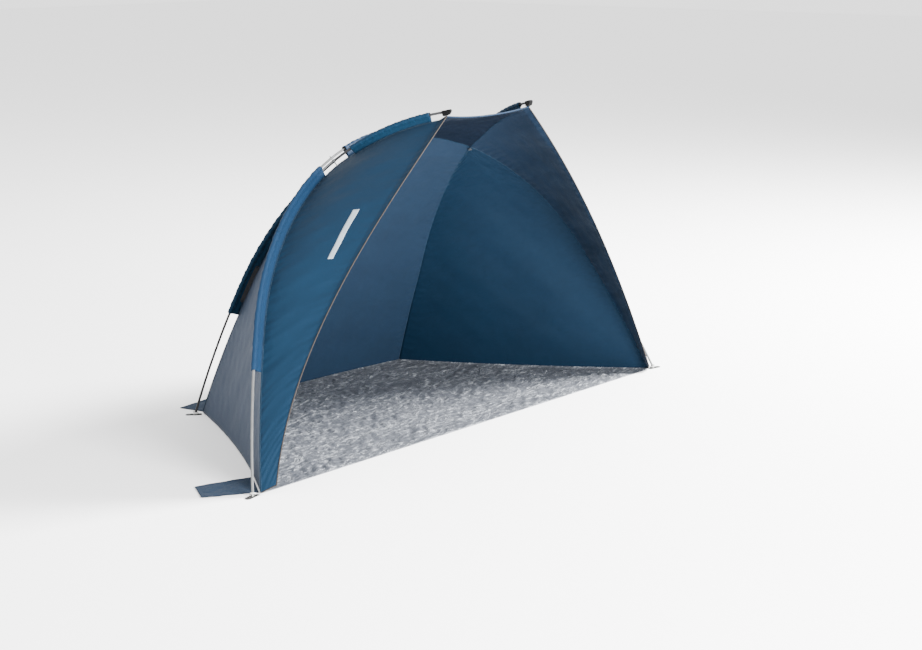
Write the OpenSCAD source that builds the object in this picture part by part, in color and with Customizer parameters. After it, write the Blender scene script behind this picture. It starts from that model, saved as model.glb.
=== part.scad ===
// Two-person beach shelter: three bent poles carry a sewn canopy with an open front.
// Millimetres, +Z up. The open front faces -Y and X = 0 is the plane of symmetry.

/* [Arch pole] */
// Radius of the crown, the middle two thirds of the arch
crown_r = 993; // [990:1:996]
// Radius of each straighter leg
leg_r = 3972; // [3900:1:4040]
// Lean of the arch's plane back from upright, degrees
arch_lean = 20; // [19.5:0.1:20.5]
// Length of one pole section of the arch
arch_section = 561; // [560:1:562]

/* [Side poles] */
// Distance of a rear foot from the plane of symmetry
rear_foot_x = 567; // [564:1:570]
// Distance of a rear foot behind the line of the front feet
rear_foot_y = 869; // [866:1:872]
// How far the pole runs sideways for each millimetre it runs forwards
side_toe_in = 0.38; // [0.375:0.001:0.385]
// Rise of the pole at its foot, degrees
side_rise = 71.75; // [71.6:0.05:71.9]
// Length of its lower and its middle section
side_section = 540; // [538:1:542]
// Length of its upper section, which ends in the peak cap
side_tip_section = 502; // [498:1:506]
// Radius of the lower section
side_low_r = 3865; // [3800:5:3900]
// Radius of the middle section
side_mid_r = 1339; // [1330:1:1345]
// Radius of the upper section
side_top_r = 907; // [900:1:915]

/* [Pole stock] */
// Outer diameter of the fibreglass tube
tube_d = 8.5; // [8:0.1:9]
// Bore of the fibreglass tube
tube_bore = 5.8; // [5.4:0.1:6]
// Length of a joining ferrule
ferrule_len = 90; // [70:5:100]
// Diameter of the shock cord inside the poles
shock_d = 2.5; // [2:0.1:3]

/* [Canopy] */
// Thickness of each fabric sheet
cloth = 1.2; // [1:0.1:1.4]
// Distance from the arch pole's centre to the canopy seam
arch_sleeve_w = 33; // [31:1:35]
// Distance from a side pole's centre to the canopy seam behind the crossing
rear_sleeve_w = 34; // [32:1:36]
// The same distance in front of the crossing
front_sleeve_w = 25; // [24:1:27]
// Sag of the roof's front edge between the peaks
hem_sag = 14; // [5:1:20]
// How far the side walls' bottom edges curve inwards
side_bow = 26; // [15:1:32]
// How far the back wall's bottom edge curves outwards
back_bow = 30; // [20:1:35]

/* [Ground flaps] */
// Width of a flap along its seam
flap_w = 162; // [140:2:170]
// How much narrower a front flap's free edge is
flap_taper = 44; // [20:2:60]
// Length of a front flap away from its seam
front_flap_len = 180; // [150:5:190]
// Length of a rear flap away from its seam
rear_flap_len = 110; // [90:2:114]

/* [Pegging points] */
// Radius of the hole in each eyelet
eyelet_r = 4.2; // [4:0.1:4.4]
// Width of an anchor tab's webbing
tab_w = 20; // [19:1:24]

/* [Hidden] */
$fn = 48;
DEG = 180 / PI;
arc_fn = 720;
// Distance of the front feet's line in front of the part's origin.
front_line = 467.8;
ground = 2.4;
tube_r = tube_d / 2;
bore_r = tube_bore / 2;
ferrule_r = tube_r + 0.45;
ferrule_wall = 0.9;
foot_rise = 12;
seam_inset = 3.5;

navy = [0.07, 0.22, 0.36];
blue = [0.16, 0.36, 0.56];
grey = [0.46, 0.5, 0.54];

// ---- vectors ----
function unit(v) = v / norm(v);
function mix(a, b, t) = a + (b - a) * t;
function flip(p) = [-p[0], p[1], p[2]];
function bezier(p, t) =
    pow(1 - t, 3) * p[0] + 3 * pow(1 - t, 2) * t * p[1] + 3 * (1 - t) * t * t * p[2] + pow(t, 3) * p[3];

// ---- a pole is a chain of arcs that each start along the end of the one before ----
// Row: arc length at its start, length, radius, centre, polar angle at its start.
function arcs(list, p, heading, s = 0, i = 0) =
    i == len(list) ? [] :
    let (
        r = list[i][0],
        length = list[i][1],
        centre = p + r * [sin(heading), -cos(heading)],
        next = heading - length / r * DEG
    )
    concat(
        [[s, length, r, centre, heading + 90]],
        arcs(list, centre + r * [-sin(next), cos(next)], next, s + length, i + 1)
    );
function arc_at(chain, s, i = 0) = i + 1 >= len(chain) || s < chain[i + 1][0] ? chain[i] : arc_at(chain, s, i + 1);
function polar(chain, s) = let (a = arc_at(chain, s)) a[4] - (s - a[0]) / a[2] * DEG;
// Point at arc length s, moved inwards by the given distance.
function on_chain(chain, s, inwards = 0) =
    let (a = arc_at(chain, s), t = polar(chain, s)) a[3] + (a[2] - inwards) * [cos(t), sin(t)];
function chain_length(chain) = let (a = chain[len(chain) - 1]) a[0] + a[1];

// ---- the arch pole, in its leaning plane ----
crown_half = 2 * arch_section / crown_r * DEG;
arch_heading = crown_half + arch_section / leg_r * DEG;
front_foot_x = crown_r * sin(crown_half) + leg_r * (sin(arch_heading) - sin(crown_half));
arch_chain = arcs(
    [[leg_r, arch_section], [crown_r, 4 * arch_section], [leg_r, arch_section]],
    [-front_foot_x, 0], arch_heading
);
arch_len = chain_length(arch_chain);
function lean_back(p) = [p[0], p[1] * sin(arch_lean), p[1] * cos(arch_lean)];
function arch_point(s, inwards = 0) = lean_back(on_chain(arch_chain, s, inwards));
module in_arch_plane() {
    translate([0, -front_line, 0]) rotate([90 - arch_lean, 0, 0]) children();
}

// ---- the left side pole, in its upright plane; the right one is its mirror image ----
side_way = unit([side_toe_in, -1, 0]);
side_across = [-side_way[1], side_way[0], 0];
side_foot = [-rear_foot_x, rear_foot_y, 0];
side_chain = arcs(
    [[side_low_r, side_section], [side_mid_r, side_section], [side_top_r, side_tip_section]],
    [0, 0], side_rise
);
side_len = chain_length(side_chain);
function side_3d(p, across = 0) = side_foot + side_way * p[0] + [0, 0, p[1]] + side_across * across;
function side_point(s, inwards = 0, across = 0) = side_3d(on_chain(side_chain, s, inwards), across);
module in_side_plane() {
    translate([0, -front_line, 0]) translate(side_foot)
        rotate([90, 0, atan2(side_way[1], side_way[0])]) children();
}
module mirrored() {
    mirror([1, 0, 0]) children();
}

// ---- seams of the left half ----
// Where the poles cross: the arch's arc length, and the canopy's point below it.
crossing_s = 1307;
crossing = arch_point(crossing_s, arch_sleeve_w);
crossing_flat = [(crossing - side_foot) * side_way, crossing[2]];
top_arc = side_chain[2];
crossing_in = top_arc[2] - norm(crossing_flat - top_arc[3]);
crossing_polar = atan2(crossing_flat[1] - top_arc[3][1], crossing_flat[0] - top_arc[3][0]);
side_crossing_s = top_arc[0] + (top_arc[4] - crossing_polar) / DEG * top_arc[2];
crossing_across = (crossing - side_foot) * side_across;

rear_tilt = 40;
front_tilt = 9;
rear_from = 418;
rear_to = 1035;
front_from = 1200;
front_to = 1512;
front_end = 1540;
peak_s = side_len - 12;
peak_drop = 15;
// Rows of [arc length, distance] for the side seam, inwards in the pole's plane and across it.
seam_in = [
    [0, 13], [rear_from, rear_sleeve_w * cos(rear_tilt)], [rear_to, rear_sleeve_w * cos(rear_tilt)],
    [side_crossing_s, crossing_in], [front_from, front_sleeve_w * cos(front_tilt)],
    [front_end, front_sleeve_w * cos(front_tilt)], [peak_s, peak_drop]
];
seam_across = [
    [0, 32], [rear_from, rear_sleeve_w * sin(rear_tilt)], [rear_to, rear_sleeve_w * sin(rear_tilt)],
    [side_crossing_s, crossing_across], [front_from, front_sleeve_w * sin(front_tilt)],
    [front_end, front_sleeve_w * sin(front_tilt)], [peak_s, 0]
];
function side_seam(s) = side_point(s, lookup(s, seam_in), lookup(s, seam_across));
function arch_seam(s) = arch_point(s, arch_sleeve_w);
arch_seam_from = 14;
side_seam_from = 10;
front_corner = arch_seam(arch_seam_from);
rear_corner = side_seam(side_seam_from);
peak = side_seam(peak_s);
// The wing's free corner stands a little proud of the ground, in front of the sheet.
wing_corner = [-1026, -30, 26];
wing_edge = [peak, [-560, -34, 800], [-892, 40, 440], wing_corner];

// ---- cloth: a grid of points over a patch with four edges ----
function patch(low, high, start, end, nu, nv, inset_u, inset_v) =
    [for (i = [0:nu]) let (u = mix(inset_u[0], 1 - inset_u[1], i / nu))
        [for (j = [0:nv]) let (v = mix(inset_v[0], 1 - inset_v[1], j / nv))
            coons(low, high, start, end, u, v)]];
// Edges are lists of points of one length each way; low and high run with u, start and end with v.
function along(list, t) =
    let (n = len(list) - 1, k = min(floor(t * n), n - 1)) mix(list[k], list[k + 1], t * n - k);
function coons(low, high, start, end, u, v) =
    mix(along(low, u), along(high, u), v) + mix(along(start, v), along(end, v), u)
    - mix(mix(along(low, 0), along(low, 1), u), mix(along(high, 0), along(high, 1), u), v);

function grid_normal(g, i, j) =
    let (
        nu = len(g) - 1,
        nv = len(g[0]) - 1,
        du = g[min(i + 1, nu)][j] - g[max(i - 1, 0)][j],
        dv = g[i][min(j + 1, nv)] - g[i][max(j - 1, 0)]
    )
    unit(cross(du, dv));

// Closed sheet of the given thickness over a grid of points.
module sheet(g, thick) {
    nu = len(g);
    nv = len(g[0]);
    count = nu * nv;
    function id(side, i, j) = side * count + i * nv + j;
    points = [for (side = [0.5, -0.5], i = [0:nu - 1], j = [0:nv - 1])
        g[i][j] + side * thick * grid_normal(g, i, j)];
    rim = concat(
        [for (i = [0:nu - 2]) [i, 0]],
        [for (j = [0:nv - 2]) [nu - 1, j]],
        [for (i = [nu - 1:-1:1]) [i, nv - 1]],
        [for (j = [nv - 1:-1:1]) [0, j]]
    );
    faces = concat(
        [for (i = [0:nu - 2], j = [0:nv - 2]) each [
            [id(0, i, j), id(0, i + 1, j + 1), id(0, i + 1, j)],
            [id(0, i, j), id(0, i, j + 1), id(0, i + 1, j + 1)],
            [id(1, i, j), id(1, i + 1, j), id(1, i + 1, j + 1)],
            [id(1, i, j), id(1, i + 1, j + 1), id(1, i, j + 1)]
        ]],
        [for (k = [0:len(rim) - 1]) let (a = rim[k], b = rim[(k + 1) % len(rim)]) each [
            [id(0, a[0], a[1]), id(0, b[0], b[1]), id(1, b[0], b[1])],
            [id(0, a[0], a[1]), id(1, b[0], b[1]), id(1, a[0], a[1])]
        ]]
    );
    translate([0, -front_line, 0]) polyhedron(points, faces, convexity = 8);
}

// Closed solid through rings of points; a hollow one also has an inner ring at each step.
module skin(rings, inner = []) {
    n = len(rings);
    m = len(rings[0]);
    hollow = len(inner) > 0;
    k = hollow ? len(inner[0]) : 0;
    flat = [for (r = concat(rings, inner)) each r];
    base = n * m;
    walls = [for (i = [0:n - 2], j = [0:m - 1]) let (a = i * m + j, b = i * m + (j + 1) % m) each [
        [a, b, b + m], [a, b + m, a + m]
    ]];
    lining = !hollow ? [] : [for (i = [0:n - 2], j = [0:k - 1])
        let (a = base + i * k + j, b = base + i * k + (j + 1) % k) each [[a, b + k, b], [a, a + k, b + k]]];
    caps = hollow
        ? [for (j = [0:k - 1]) let (q = (j + 1) % k) each [
            [j, base + j, base + q], [j, base + q, q],
            [(n - 1) * m + j, (n - 1) * m + q, base + (n - 1) * k + q],
            [(n - 1) * m + j, base + (n - 1) * k + q, base + (n - 1) * k + j]
        ]]
        : [[for (j = [m - 1:-1:0]) j], [for (j = [0:m - 1]) (n - 1) * m + j]];
    translate([0, -front_line, 0]) polyhedron(flat, concat(walls, lining, caps), convexity = 8);
}

// Ring of points about p, square to the direction d.
function ring_about(p, d, r, n, up = [0, 0, 1]) =
    let (a = unit(cross(d, up)), b = unit(cross(a, d)))
    [for (k = [0:n - 1]) p + r * (a * cos(360 * k / n) + b * sin(360 * k / n))];
function heading_at(path, i) = unit(path[min(i + 1, len(path) - 1)] - path[max(i - 1, 0)]);
module rod_along(path, r, n, up = [0, 0, 1]) {
    skin([for (i = [0:len(path) - 1]) ring_about(path[i], heading_at(path, i), r, n, up)]);
}

// ---- edges of the panels ----
fine = 24;
function steps(a, b, n = fine) = [for (i = [0:n]) mix(a, b, i / n)];
function straight(a, b, bow = [0, 0, 0]) = [for (t = steps(0, 1)) mix(a, b, t) + bow * 4 * t * (1 - t)];
left_leg_seam = [for (s = steps(arch_seam_from, crossing_s)) arch_seam(s)];
rear_seam = [for (s = steps(side_seam_from, side_crossing_s)) side_seam(s)];
front_seam = [for (s = steps(side_crossing_s, peak_s)) side_seam(s)];
roof_seam = [for (s = steps(crossing_s, arch_len - crossing_s)) arch_seam(s)];
front_edge = [for (t = steps(0, 1)) bezier([wing_edge[3], wing_edge[2], wing_edge[1], wing_edge[0]], t)];
hem_edge = straight(peak, flip(peak), [0, 6, -hem_sag]);
function rest_on(p, z) = [p[0], p[1], z];
side_out = unit(cross([0, 0, 1], rear_corner - front_corner));
side_edge = straight(rest_on(front_corner, ground), rest_on(rear_corner, ground), -side_out * side_bow);
back_edge = straight(rest_on(rear_corner, ground), rest_on(flip(rear_corner), ground), [0, back_bow, 0]);
function mirrored_list(list) = [for (p = list) flip(p)];

function inset(length) = seam_inset / length;

module wing_panel() {
    color(navy) sheet(patch(
        left_leg_seam, front_edge, straight(front_corner, wing_corner), front_seam,
        26, 8, [0.002, inset(400)], [inset(220), inset(220)]
    ), cloth);
}
module side_panel() {
    top = [for (t = steps(0, 1)) crossing];
    color(grey) sheet(patch(
        rear_seam, left_leg_seam, [for (i = [fine:-1:0]) side_edge[i]], top,
        24, 14, [0, inset(300)], [inset(600), inset(600)]
    ), cloth);
}
module back_panel() {
    color(blue) sheet(patch(
        rear_seam, mirrored_list(rear_seam), back_edge, roof_seam,
        20, 20, [0, inset(900)], [inset(900), inset(900)]
    ), cloth);
}
module roof_panel() {
    color(navy) sheet(patch(
        front_seam, mirrored_list(front_seam), roof_seam, hem_edge,
        12, 18, [inset(450), inset(450)], [inset(550), inset(550)]
    ), cloth);
}

// ---- groundsheet ----
module groundsheet() {
    bottom = concat(side_edge, back_edge, [for (i = [fine:-1:0]) flip(side_edge[i])]);
    color([0.62, 0.65, 0.68]) translate([0, -front_line, 0.2]) linear_extrude(height = 1.2)
        polygon([for (p = bottom) [p[0], p[1]]]);
}

// ---- bindings ----
binding_r = 2.2;
module front_binding() {
    outside = unit([-0.35, -1, 0.1]);
    path = [for (t = [0.03:0.047:0.97]) bezier(wing_edge, t) + outside * 4.5];
    color([0.5, 0.45, 0.4]) rod_along(path, binding_r, 6);
}
module roof_binding() {
    path = [for (i = [2:fine - 2]) hem_edge[i] + [0, -4, 1]];
    color([0.14, 0.32, 0.5]) rod_along(path, binding_r, 6);
}

// ---- sleeves: a hollow tube of cloth round the pole, with a web that narrows down to the seam ----
sleeve_r = 8.2;
sleeve_hole = 6.9;
// Ring in the plane square to the pole: out points away from the canopy, axis along the pole.
function sleeve_ring(p, out, axis, width) =
    let (
        side = unit(cross(out, axis)),
        foot = -width + seam_inset,
        web = cloth / 2
    )
    concat(
        [for (a = [-150:30:150]) p + sleeve_r * (cos(a) * out + sin(a) * side)],
        [p + foot * out + web * side, p + foot * out - web * side]
    );
function sleeve_hollow(p, out, axis) =
    let (side = unit(cross(out, axis)))
    concat(
        [for (a = [-150:30:150]) p + sleeve_hole * (cos(a) * out + sin(a) * side)],
        [for (a = [170, 190]) p + sleeve_hole * (cos(a) * out + sin(a) * side)]
    );
module sleeve(points, outs, axes, widths) {
    n = len(points) - 1;
    skin(
        [for (i = [0:n]) sleeve_ring(points[i], outs[i], axes[i], widths[i])],
        [for (i = [0:n]) sleeve_hollow(points[i], outs[i], axes[i])]
    );
}
function arch_out(s) = let (t = polar(arch_chain, s)) lean_back([cos(t), sin(t)]);
function arch_axis(s) = let (t = polar(arch_chain, s)) lean_back([sin(t), -cos(t)]);
function side_axis(s) = let (t = polar(side_chain, s)) side_way * sin(t) - [0, 0, cos(t)];
module arch_sleeve(from, to, n) {
    at = steps(from, to, n);
    sleeve(
        [for (s = at) arch_point(s)], [for (s = at) arch_out(s)],
        [for (s = at) arch_axis(s)], [for (s = at) arch_sleeve_w]
    );
}
module side_sleeve(from, to, n) {
    at = steps(from, to, n);
    sleeve(
        [for (s = at) side_point(s)],
        [for (s = at) unit(side_point(s) - side_seam(s))],
        [for (s = at) side_axis(s)],
        [for (s = at) norm(side_point(s) - side_seam(s))]
    );
}
leg_sleeve_from = 405;
leg_sleeve_to = 1232;
roof_sleeve_from = 1378;

// ---- vent trim: a long narrow loop of binding round mesh, sewn where the rear sleeve meets the wall ----
vent_from = 478;
vent_to = 615;
vent_out = 24;
vent_proud = 3.8;
// The web narrows from the tube to the seam, so its outer face leans this much more than the web.
web_taper = 8.5;
// Outward normal of that face.
function web_normal(s) =
    sin(rear_tilt + web_taper) * unit(side_point(s, 1) - side_point(s))
    - cos(rear_tilt + web_taper) * side_across;
module vent_trim() {
    at = steps(vent_from, vent_to, 8);
    path = [for (s = at)
        side_point(s, vent_out * cos(rear_tilt), vent_out * sin(rear_tilt)) + vent_proud * web_normal(s)];
    color([0.45, 0.4, 0.34]) skin([for (i = [0:len(path) - 1])
        let (b = web_normal(at[i]), a = unit(cross(heading_at(path, i), b)))
        [for (k = [0:7]) path[i] + 6 * cos(45 * k) * a + 1.8 * sin(45 * k) * b]]);
}

// ---- poles ----
module pole_wall(inner, outer) {
    difference() {
        circle(r = outer);
        circle(r = inner);
    }
}
// Sweeps the children's profile along the stretch from arc length a to b of one arc of the chain.
module along_arc(chain, a, b, r_of = 0) {
    arc = arc_at(chain, (a + b) / 2);
    r = r_of == 0 ? arc[2] : r_of;
    turn = (b - a) / r * DEG;
    middle = polar(chain, (a + b) / 2);
    centre = on_chain(chain, (a + b) / 2) - r * [cos(middle), sin(middle)];
    translate(centre) rotate([0, 0, middle - turn / 2])
        rotate_extrude(angle = turn, $fn = arc_fn) translate([r, 0]) children();
}
pole_gap = 0.15;
module arch_pole(i) {
    from = i * arch_section + (i == 0 ? foot_rise : pole_gap);
    to = (i + 1) * arch_section - (i == 5 ? foot_rise : pole_gap);
    color([0.76, 0.76, 0.75]) in_arch_plane() along_arc(arch_chain, from, to) pole_wall(bore_r, tube_r);
}
module side_pole(i) {
    from = i * side_section + (i == 0 ? foot_rise : pole_gap);
    to = min((i + 1) * side_section, side_len) - pole_gap;
    color([0.24, 0.24, 0.25]) in_side_plane() along_arc(side_chain, from, to) pole_wall(bore_r, tube_r);
}
// A ferrule bridges two arcs, so its own radius lies between theirs.
module ferrule(chain, s) {
    before = arc_at(chain, s - 1)[2];
    after = arc_at(chain, s + 1)[2];
    color([0.7, 0.71, 0.72]) along_arc(
        chain, s - ferrule_len / 2, s + ferrule_len / 2, 2 / (1 / before + 1 / after)
    ) pole_wall(ferrule_r, ferrule_r + ferrule_wall);
}
module arch_ferrules() {
    in_arch_plane() for (i = [1:5]) ferrule(arch_chain, i * arch_section);
}
module side_ferrules() {
    in_side_plane() for (i = [1:2]) ferrule(side_chain, i * side_section);
}
cord_margin = 40;
module arch_shock_cord() {
    path = [for (s = steps(cord_margin, arch_len - cord_margin, 76)) arch_point(s)];
    color([0.1, 0.1, 0.1]) rod_along(path, shock_d / 2, 8, [0, 1, 0]);
}
module side_shock_cord() {
    path = [for (s = steps(cord_margin, side_len - cord_margin, 36)) side_point(s)];
    color([0.1, 0.1, 0.1]) rod_along(path, shock_d / 2, 8, side_across);
}

// ---- pole feet: a plug in the tube, a round collar, and a pin through the anchor tab's eyelet ----
pin_r = 2.5;
collar_r = 11;
collar_h = 5;
module pole_foot() {
    color([0.9, 0.9, 0.88]) rotate_extrude() polygon([
        [0, -foot_rise + 1.6], [pin_r, -foot_rise + 1.6], [pin_r, -collar_h - 0.2], [collar_r - 2, -collar_h - 0.2],
        [collar_r, -collar_h / 2 - 0.2], [collar_r - 2, -0.2], [bore_r - 0.1, -0.2], [bore_r - 0.1, 22],
        [bore_r - 0.6, 23], [0, 23]
    ]);
}
module front_foot() {
    in_arch_plane() translate(on_chain(arch_chain, foot_rise)) rotate([0, 0, polar(arch_chain, foot_rise) - 180])
        rotate([-90, 0, 0]) pole_foot();
}
module rear_foot() {
    in_side_plane() translate(on_chain(side_chain, foot_rise)) rotate([0, 0, polar(side_chain, foot_rise) - 180])
        rotate([-90, 0, 0]) pole_foot();
}

// ---- anchor tabs: webbing that lies on the ground from the canopy's corner to the peg eyelet ----
tab_low = 0.6;
tab_high = 2.0;
eyelet_flange = 7.6;
peg_reach = 24;
tab_inner = 24;
pin_front = [-front_foot_x, 0];
pin_rear = [side_foot[0], side_foot[1]];
front_tab_way = unit([-1, -0.2]);
rear_tab_way = unit([-0.75, 0.66]);
module tab(pin, way) {
    peg = pin + way * peg_reach;
    color([0.06, 0.06, 0.06]) translate([0, -front_line, tab_low]) difference() {
        linear_extrude(height = tab_high - tab_low) union() {
            translate(peg) circle(d = tab_w);
            translate(pin) rotate(atan2(way[1], way[0])) translate([-tab_inner, -tab_w / 2])
                square([tab_inner + peg_reach, tab_w]);
        }
        for (at = [pin, peg]) translate([at[0], at[1], -1]) cylinder(r = eyelet_r + 1.9, h = 5);
    }
}
module eyelet(at) {
    color([0.75, 0.7, 0.55]) translate([at[0], at[1] - front_line, 0]) rotate_extrude() polygon([
        [eyelet_r, 0], [eyelet_flange, 0], [eyelet_flange, 0.3], [eyelet_r + 1.6, 0.3],
        [eyelet_r + 1.6, 2.3], [eyelet_flange, 2.3], [eyelet_flange, 2.6], [eyelet_r, 2.6]
    ]);
}
function flat_flip(p) = [-p[0], p[1]];
module pin_eyelets() {
    for (at = [pin_front, pin_rear]) {
        eyelet(at);
        eyelet(flat_flip(at));
    }
}
module peg_eyelets() {
    for (at = [pin_front + front_tab_way * peg_reach, pin_rear + rear_tab_way * peg_reach]) {
        eyelet(at);
        eyelet(flat_flip(at));
    }
}

// ---- peak caps: moulded blocks that hold the side poles' tips at the canopy's peaks ----
cap_back = -25;
cap_front = 8;
cap_w = 13;
cap_top = 7.5;
cap_low = -13.5;
// Play that lets the straight socket take the bent end of the pole.
cap_play = 0.5;
module peak_cap() {
    tip = on_chain(side_chain, side_len);
    slope = polar(side_chain, side_len) - 90;
    color([0.05, 0.05, 0.06]) in_side_plane() translate(tip) rotate([0, 0, slope]) difference() {
        linear_extrude(height = cap_w, center = true) polygon([
            [cap_back, cap_top - 2], [cap_front - 4, cap_top], [cap_front, cap_top - 3],
            [cap_front, cap_top - 8], [cap_front - 8, cap_low + 3], [cap_back + 6, cap_low],
            [cap_back + 1, cap_low + 3]
        ]);
        rotate([0, -90, 0]) translate([0, 0, -0.4]) cylinder(r = tube_r + cap_play, h = 60);
    }
}

// ---- crossing ties: elastic round both poles where they cross, hooked to a button in the canopy ----
tie_r = 1.1;
tie_half_height = 15;
tie_half_width = 11;
// Arc lengths at which the centre lines of the arch pole and the side pole pass closest.
arch_meet_s = 1302;
side_meet_s = 1119.5;
meet = (arch_point(arch_meet_s) + side_point(side_meet_s)) / 2;
meet_up = unit(arch_point(arch_meet_s) - side_point(side_meet_s));
crossing_up = unit(arch_point(crossing_s) - crossing);
module crossing_tie() {
    axis = unit(arch_axis(arch_meet_s) + side_axis(side_meet_s));
    side = unit(cross(axis, meet_up));
    low = crossing + crossing_up * 2.2;
    loop = [for (a = [-118:14.75:118])
        meet + meet_up * (tie_half_height * cos(a)) + side * (tie_half_width * sin(a))];
    path = concat([low - side * 1.6], loop, [low + side * 1.6]);
    color([0.2, 0.2, 0.2]) rod_along(path, tie_r, 6, axis);
}
module crossing_button() {
    color([0.12, 0.13, 0.15]) translate([0, -front_line, 0])
        translate(crossing - crossing_up * 9) rotate([0, acos(crossing_up[2]), atan2(crossing_up[1], crossing_up[0])])
        rotate_extrude() polygon([[0, -2], [6, -2], [7.5, 0], [6, 2], [0, 2]]);
}

// ---- ground flaps: short cloth skirts that fold out over the ground to hold sand or stones ----
flap_thick = 1.2;
front_flap_start = 16;
rear_flap_start = 12;
hinge_out = 4;
flap_skew = 17;
// A flap hangs on the chord of its stretch of a bottom edge; its outline runs along and away from that.
function edge_length(edge) = norm(edge[len(edge) - 1] - edge[0]);
function chord_end(edge, at) = rest_on(along(edge, at / edge_length(edge)), 0);
function chord_way(edge, start) = unit(chord_end(edge, start + flap_w) - chord_end(edge, start));
function chord_out(edge, start) = cross([0, 0, 1], chord_way(edge, start));
function hinge_point(edge, start) = chord_end(edge, start) + chord_out(edge, start) * hinge_out;
module flap(edge, start, outline) {
    way = chord_way(edge, start);
    out = chord_out(edge, start);
    points = [for (p = outline) hinge_point(edge, start) + way * p[0] + out * p[1]];
    color([0.33, 0.41, 0.49]) translate([0, -front_line, 0]) linear_extrude(height = flap_thick)
        polygon([for (p = points) [p[0], p[1]]]);
}
module front_flap() {
    flap(side_edge, front_flap_start, [
        [0, 0], [flap_w, 0], [flap_w - flap_taper - flap_skew, front_flap_len + 10], [-flap_skew, front_flap_len]
    ]);
}
module rear_flap() {
    flap(back_edge, rear_flap_start, [
        [0, 0], [flap_w, 0], [flap_w, rear_flap_len], [-rear_flap_start, rear_flap_len]
    ]);
}

groundsheet();
roof_panel();
back_panel();
side_panel();  // side_panel_left
mirrored() side_panel();  // side_panel_right
wing_panel();  // wing_panel_left
mirrored() wing_panel();  // wing_panel_right
roof_binding();
front_binding();  // front_binding_left
mirrored() front_binding();  // front_binding_right
color(blue) arch_sleeve(leg_sleeve_from, leg_sleeve_to, 18);  // arch_sleeve_left
color(blue) mirrored() arch_sleeve(leg_sleeve_from, leg_sleeve_to, 18);  // arch_sleeve_right
color(blue) arch_sleeve(roof_sleeve_from, arch_len - roof_sleeve_from, 14);  // arch_sleeve_roof
color(navy) side_sleeve(rear_from, rear_to, 14);  // rear_sleeve_left
color(navy) mirrored() side_sleeve(rear_from, rear_to, 14);  // rear_sleeve_right
color(blue) side_sleeve(front_from, front_to, 8);  // front_sleeve_left
color(blue) mirrored() side_sleeve(front_from, front_to, 8);  // front_sleeve_right
vent_trim();  // vent_trim_left
mirrored() vent_trim();  // vent_trim_right
arch_pole(0);  // arch_pole_1
arch_pole(1);  // arch_pole_2
arch_pole(2);  // arch_pole_3
arch_pole(3);  // arch_pole_4
arch_pole(4);  // arch_pole_5
arch_pole(5);  // arch_pole_6
side_pole(0);  // left_pole_1
side_pole(1);  // left_pole_2
side_pole(2);  // left_pole_3
mirrored() side_pole(0);  // right_pole_1
mirrored() side_pole(1);  // right_pole_2
mirrored() side_pole(2);  // right_pole_3
arch_ferrules();
side_ferrules();  // left_ferrules
mirrored() side_ferrules();  // right_ferrules
arch_shock_cord();
side_shock_cord();  // left_shock_cord
mirrored() side_shock_cord();  // right_shock_cord
peak_cap();  // peak_cap_left
mirrored() peak_cap();  // peak_cap_right
front_foot();  // foot_front_left
mirrored() front_foot();  // foot_front_right
rear_foot();  // foot_rear_left
mirrored() rear_foot();  // foot_rear_right
tab(pin_front, front_tab_way);  // anchor_tab_front_left
mirrored() tab(pin_front, front_tab_way);  // anchor_tab_front_right
tab(pin_rear, rear_tab_way);  // anchor_tab_rear_left
mirrored() tab(pin_rear, rear_tab_way);  // anchor_tab_rear_right
pin_eyelets();
peg_eyelets();
crossing_tie();  // crossing_tie_left
mirrored() crossing_tie();  // crossing_tie_right
crossing_button();  // crossing_button_left
mirrored() crossing_button();  // crossing_button_right
front_flap();  // front_flap_left
mirrored() front_flap();  // front_flap_right
rear_flap();  // rear_flap_left
mirrored() rear_flap();  // rear_flap_right
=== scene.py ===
"""Looks of the tarp shelter: a sewn canopy on three bent poles, a crinkled groundsheet and ground flaps."""

import math

import bpy
import numpy as np
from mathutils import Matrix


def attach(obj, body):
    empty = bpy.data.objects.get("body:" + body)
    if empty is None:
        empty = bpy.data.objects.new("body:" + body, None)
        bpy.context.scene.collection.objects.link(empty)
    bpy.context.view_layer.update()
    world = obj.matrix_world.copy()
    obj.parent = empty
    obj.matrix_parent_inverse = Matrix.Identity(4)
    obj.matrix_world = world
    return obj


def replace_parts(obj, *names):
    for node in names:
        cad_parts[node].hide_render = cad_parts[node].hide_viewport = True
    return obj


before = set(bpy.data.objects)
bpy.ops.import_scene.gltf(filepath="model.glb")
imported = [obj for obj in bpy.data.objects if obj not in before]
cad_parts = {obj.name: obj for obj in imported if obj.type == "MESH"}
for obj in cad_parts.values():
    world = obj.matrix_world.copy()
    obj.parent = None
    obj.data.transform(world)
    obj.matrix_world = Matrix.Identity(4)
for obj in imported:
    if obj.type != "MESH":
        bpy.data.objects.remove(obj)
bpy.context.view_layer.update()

# ---- the shelter's shape, in metres, with the front feet on y = 0 ----
FRONT_LINE = 0.4678
CROWN_R = 0.993
LEG_R = 3.972
ARCH_LEAN = math.radians(20)
ARCH_SECTION = 0.561
REAR_FOOT = np.array([-0.567, 0.869, 0.0])
SIDE_TOE_IN = 0.38
SIDE_RISE = math.radians(71.75)
SIDE_ARCS = [(3.865, 0.540), (1.339, 0.540), (0.907, 0.502)]

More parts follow.
